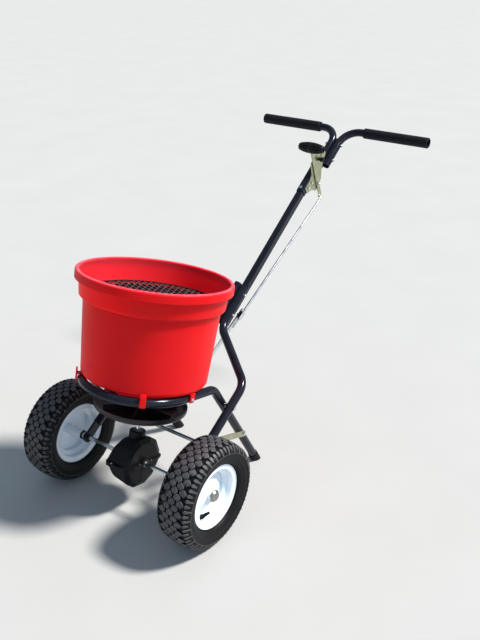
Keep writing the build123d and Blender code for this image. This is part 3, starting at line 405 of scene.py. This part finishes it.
def build_tyre(name, sx, body):
    cx = sx * WHEEL_X

    def place(u, r, t):
        return Vector((cx + sx * u / 1000, Y_AXLE + r / 1000 * math.sin(t), WHEEL_R + r / 1000 * math.cos(t)))

    bm = bmesh.new()
    # carcass: bead, sidewalls with moulded rings, crown at the bottom of the grooves
    side_pts = [
        (32.9, 82.0), (33.0, 92.3), (35.2, 94.4), (38.6, 95.2), (41.2, 96.4), (43.0, 98.4), (43.6, 99.8), (44.5, 100.2), (44.9, 101.4),
        (46.6, 105.4), (48.6, 110.6), (49.3, 112.6), (50.1, 112.9), (50.3, 114.0), (50.2, 114.6), (51.0, 118.6), (51.7, 123.0), (52.0, 126.6),
        (52.2, 127.2), (53.6, 127.6), (53.7, 129.0), (52.4, 129.7), (51.2, 134.0), (48.6, 139.0), (44.6, 141.6),
    ]
    crown = [(30.0, 144.0), (15.0, 145.6), (0.0, 146.1)]
    right = side_pts + crown
    left = [(-u, r) for u, r in reversed(right[:-1])]
    outer = right + left
    inner = [(-25.5, 82.0), (-27.5, 92.5), (-40.0, 101.0), (-46.5, 118.0), (-42.0, 132.0), (-36.0, 137.5), (0.0, 140.5),
             (36.0, 137.5), (42.0, 132.0), (46.5, 118.0), (40.0, 101.0), (27.5, 92.5), (25.5, 82.0)]
    rings = lathe(bm, outer + inner, place, 160, True, 0)
    # painted highlight: the raised ring between sidewall and shoulder gets the lighter tread-top rubber, where the rib
    # catches the light
    ring_at = [i for i, (u, r) in enumerate(outer) if abs(u) > 53.0]
    painted_lit_ring = {v for i in ring_at for v in rings[i]}
    for f in bm.faces:
        if all(v in painted_lit_ring for v in f.verts):
            f.material_index = 1

    step = 2 * math.pi / TREAD_N

    def block(outline, t0, depth=6.2, inset=1.0, top_mat=1, side_mat=2, sink=1.2, env=envelope):
        """outline: (along mm, across mm) at the tread surface, counter-clockwise seen from outside."""
        cxo = sum(p[0] for p in outline) / len(outline)
        cyo = sum(p[1] for p in outline) / len(outline)
        rows = []
        for h, s in ((-depth - sink, 1.06), (-0.9, 1.0), (-0.15, 1.0 - 0.06), (0.0, 1.0 - 0.13)):
            ring = []
            for a, u in outline:
                aa, uu = cxo + (a - cxo) * s, cyo + (u - cyo) * s
                r = env(uu) + h
                ring.append(bm.verts.new(place(uu, r, t0 + aa / 151.0)))
            rows.append(ring)
        n = len(outline)
        for i in range(3):
            for k in range(n):
                k2 = (k + 1) % n
                f = bm.faces.new((rows[i][k], rows[i][k2], rows[i + 1][k2], rows[i + 1][k]))
                f.material_index = side_mat if i == 0 else top_mat
        f = bm.faces.new(rows[3])
        f.material_index = top_mat
        f = bm.faces.new(rows[0][::-1])
        f.material_index = side_mat

    # eight-sided blocks, each with a notch in one corner, in staggered rows
    octa = [(10.2, -1.8), (10.0, 1.6), (2.9, 10.2), (-2.5, 10.4), (-9.9, 2.6), (-5.4, 1.2), (-5.4, -1.4), (-10.1, -2.5), (-2.8, -10.3), (2.6, -10.4)]
    octa = octa[::-1]
    rows_u = (0.0, 13.0, -13.0, 26.0, -26.0)
    for j, u0 in enumerate(rows_u):
        shift = 0.5 if j in (1, 2) else 0.0
        flip = -1 if u0 < 0 else 1
        for k in range(TREAD_N):
            t0 = (k + shift) * step
            ol = [(a, u0 + flip * u) for a, u in octa]
            if flip < 0:
                ol = ol[::-1]
            block(ol, t0)
    # shoulder lugs that run down on to the sidewall
    for sgn in (1, -1):
        for k in range(2 * TREAD_N):
            t0 = (k / 2) * step
            wide = k % 2 == 1
            low = 53.2 if wide else 50.6
            ol = [(-2.3, 39.2), (2.3, 39.2), (5.0, 42.4), (4.4, 46.0), (3.0, 49.0), (2.2, low), (-2.2, low), (-3.0, 49.0), (-4.4, 46.0), (-5.0, 42.4)]
            ol = [(a, sgn * u) for a, u in ol]
            if sgn < 0:
                ol = ol[::-1]
            lug(bm, place, ol, t0, sgn)
    if sx < 0:
        bmesh.ops.reverse_faces(bm, faces=bm.faces[:])
    bmesh.ops.recalc_face_normals(bm, faces=bm.faces[:])
    o = make(name, bm, [SIDEWALL, TREAD_TOP, TREAD], body, 38)
    return o


def shoulder(u):
    """Radius and outward shift of the tyre's shoulder for a distance u along its section."""
    a = abs(u)
    # (axial, radius) along the outside of a lug
    path = [(39.2, 147.2), (42.4, 146.2), (46.0, 143.6), (49.0, 140.0), (51.4, 136.4), (53.2, 132.6), (54.2, 129.6)]
    keys = [39.2, 42.4, 46.0, 49.0, 50.6, 52.0, 53.2]
    for i in range(len(keys) - 1):
        if a <= keys[i + 1] or i == len(keys) - 2:
            t = (a - keys[i]) / (keys[i + 1] - keys[i])
            t = max(0.0, min(1.0, t))
            return (path[i][0] + (path[i + 1][0] - path[i][0]) * t, path[i][1] + (path[i + 1][1] - path[i][1]) * t)
    return path[-1]


def lug(bm, place, outline, t0, sgn):
    """A shoulder lug that follows the rounded shoulder; lifted along the section's normal."""
    cxo = sum(p[0] for p in outline) / len(outline)
    rows = []
    for h, s in ((-5.4, 1.08), (-0.9, 1.0), (-0.1, 0.84)):
        ring = []
        for a, u in outline:
            x, r = shoulder(u)
            x1, r1 = shoulder(abs(u) + 0.2)
            x0, r0 = shoulder(abs(u) - 0.2)
            dx, dr = x1 - x0, r1 - r0
            d = math.hypot(dx, dr) or 1.0
            nx, nr = -dr / d, dx / d
            aa = cxo + (a - cxo) * s
            ring.append(bm.verts.new(place(sgn * (x + nx * h), r + nr * h, t0 + aa / 146.0)))
        rows.append(ring)
    n = len(outline)
    for i in range(2):
        for k in range(n):
            k2 = (k + 1) % n
            f = bm.faces.new((rows[i][k], rows[i][k2], rows[i + 1][k2], rows[i + 1][k]))
            f.material_index = 2 if i == 0 else 1
    # cap and base as strips of quads, so that they bend round the shoulder
    m = n // 2
    for ring, mat, turn in ((rows[2], 1, 1), (rows[0], 2, -1)):
        left = [ring[0]] + [ring[n - 1 - i] for i in range(m - 1)]
        right = [ring[1 + i] for i in range(m)]
        for i in range(m - 1):
            f = bm.faces.new((left[i], right[i], right[i + 1], left[i + 1])[::turn])
            f.material_index = mat


for nm, sx, body in (("left", -1, "drive"), ("right", 1, "free_wheel")):
    tyre = build_tyre(f"{nm}_tyre_detail", sx, body)
    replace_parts(tyre, f"{nm}_tyre")

# ------------------------------------------------------------------ lever knob, with moulded ribs and the hole in its end
KNOB_C = W(18.5, 450 + PC * 494.0 - PS * 103.0, 461 + PS * 494.0 + PC * 103.0)


def build_knob():
    bm = bmesh.new()
    segs = 144

    def knob_r(u):
        # circle through (-43, 12), (0, 18.5), (43, 12)
        rad = (43.0 ** 2 + 6.5 ** 2) / 13.0
        return 18.5 - rad + math.sqrt(rad * rad - u * u)

    prof = [(-45.0, 0.0), (-45.0, 5.0), (-45.0, 8.6), (-44.5, 10.0), (-43.0, 11.7)]
    prof += [(-41.0 + 2.0 * i, None) for i in range(42)]
    prof += [(43.0, 11.7), (44.5, 10.0), (45.0, 8.8), (45.0, 7.0), (44.4, 6.3), (31.0, 6.1), (31.0, 0.0)]
    rings = []
    for u, r in prof:
        if r is not None and r < 1e-9:
            rings.append([bm.verts.new(KNOB_C + Vector((u / 1000, 0, 0)))])
            continue
        ring = []
        for k in range(segs):
            t = 2 * math.pi * k / segs
            rr = knob_r(u) - 0.25 if r is None else r
            if r is None:
                fade = max(0.0, min(1.0, (37.0 - abs(u)) / 5.0))
                # twelve finger grooves along the knob, with a plain band round its middle
                band = max(0.0, min(1.0, (abs(u) - 4.0) / 2.5))
                g = max(0.0, math.cos(12 * t)) ** 1.5
                rr -= 2.7 * fade * band * g
            ring.append(bm.verts.new(KNOB_C + Vector((u / 1000, rr / 1000 * math.cos(t), rr / 1000 * math.sin(t)))))
        rings.append(ring)
    for a, c in zip(rings, rings[1:]):
        for k in range(segs):
            k2 = (k + 1) % segs
            vs = []
            for v in (a[k % len(a)], a[k2 % len(a)], c[k2 % len(c)], c[k % len(c)]):
                if v not in vs:
                    vs.append(v)
            if len(vs) >= 3:
                bm.faces.new(vs)
    bmesh.ops.recalc_face_normals(bm, faces=bm.faces[:])
    return make("lever_knob_detail", bm, [KNOB_MAT], "lever", 40)


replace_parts(build_knob(), "lever_knob")

# ------------------------------------------------------------------ stage, light and camera
scene.view_settings.view_transform = "Standard"
scene.view_settings.look = "None"
scene.view_settings.exposure = 0.0

floor_bm = bmesh.new()
bmesh.ops.create_grid(floor_bm, x_segments=8, y_segments=8, size=60.0)
fme = bpy.data.meshes.new("studio_floor")
floor_bm.to_mesh(fme)
floor_bm.free()
floor = bpy.data.objects.new("studio_floor", fme)
scene.collection.objects.link(floor)
m, nt, b = new_mat("studio_floor")
v = coords(nt)
nt.links.new(ramp(nt, noise(nt, v, 3.0, 5), [(0.3, (0.465, 0.465, 0.46)), (0.7, (0.485, 0.485, 0.48))]), b.inputs["Base Color"])
b.inputs["Roughness"].default_value = 0.9
fme.materials.append(m)

world = bpy.data.worlds.new("studio")
world.use_nodes = True
world.node_tree.nodes["Background"].inputs["Color"].default_value = (0.64, 0.81, 1.0, 1)
world.node_tree.nodes["Background"].inputs["Strength"].default_value = 0.40
scene.world = world


def sun(name, direction, energy, angle_deg, color=(1, 1, 1)):
    l = bpy.data.lights.new(name, "SUN")
    l.energy = energy
    l.angle = math.radians(angle_deg)
    l.color = color
    o = bpy.data.objects.new(name, l)
    o.rotation_euler = (-Vector(direction)).to_track_quat("-Z", "Y").to_euler()
    scene.collection.objects.link(o)
    return o


sun("key", (0.74, 0.52, 1.12), 5.8, 9, (1.0, 0.965, 0.91))
sun("fill", (0.95, -0.28, 0.30), 0.45, 50, (0.60, 0.80, 1.0))

cam_data = bpy.data.cameras.new("camera")
cam = bpy.data.objects.new("camera", cam_data)
scene.collection.objects.link(cam)
scene.camera = cam
cam_data.sensor_width = 36.0
cam_data.lens = 45.471
cam_data.clip_end = 400.0
R = Vector((0.8108723, 0.5852095, 0.0039796))
F = Vector((-0.5249774, 0.7303857, -0.4369616))
R.normalize(); F.normalize()
U = R.cross(F)
cam.matrix_world = Matrix((
    (R.x, U.x, -F.x, 1.3515110),
    (R.y, U.y, -F.y, -1.8573950),
    (R.z, U.z, -F.z, 1.5153185),
    (0, 0, 0, 1),
))
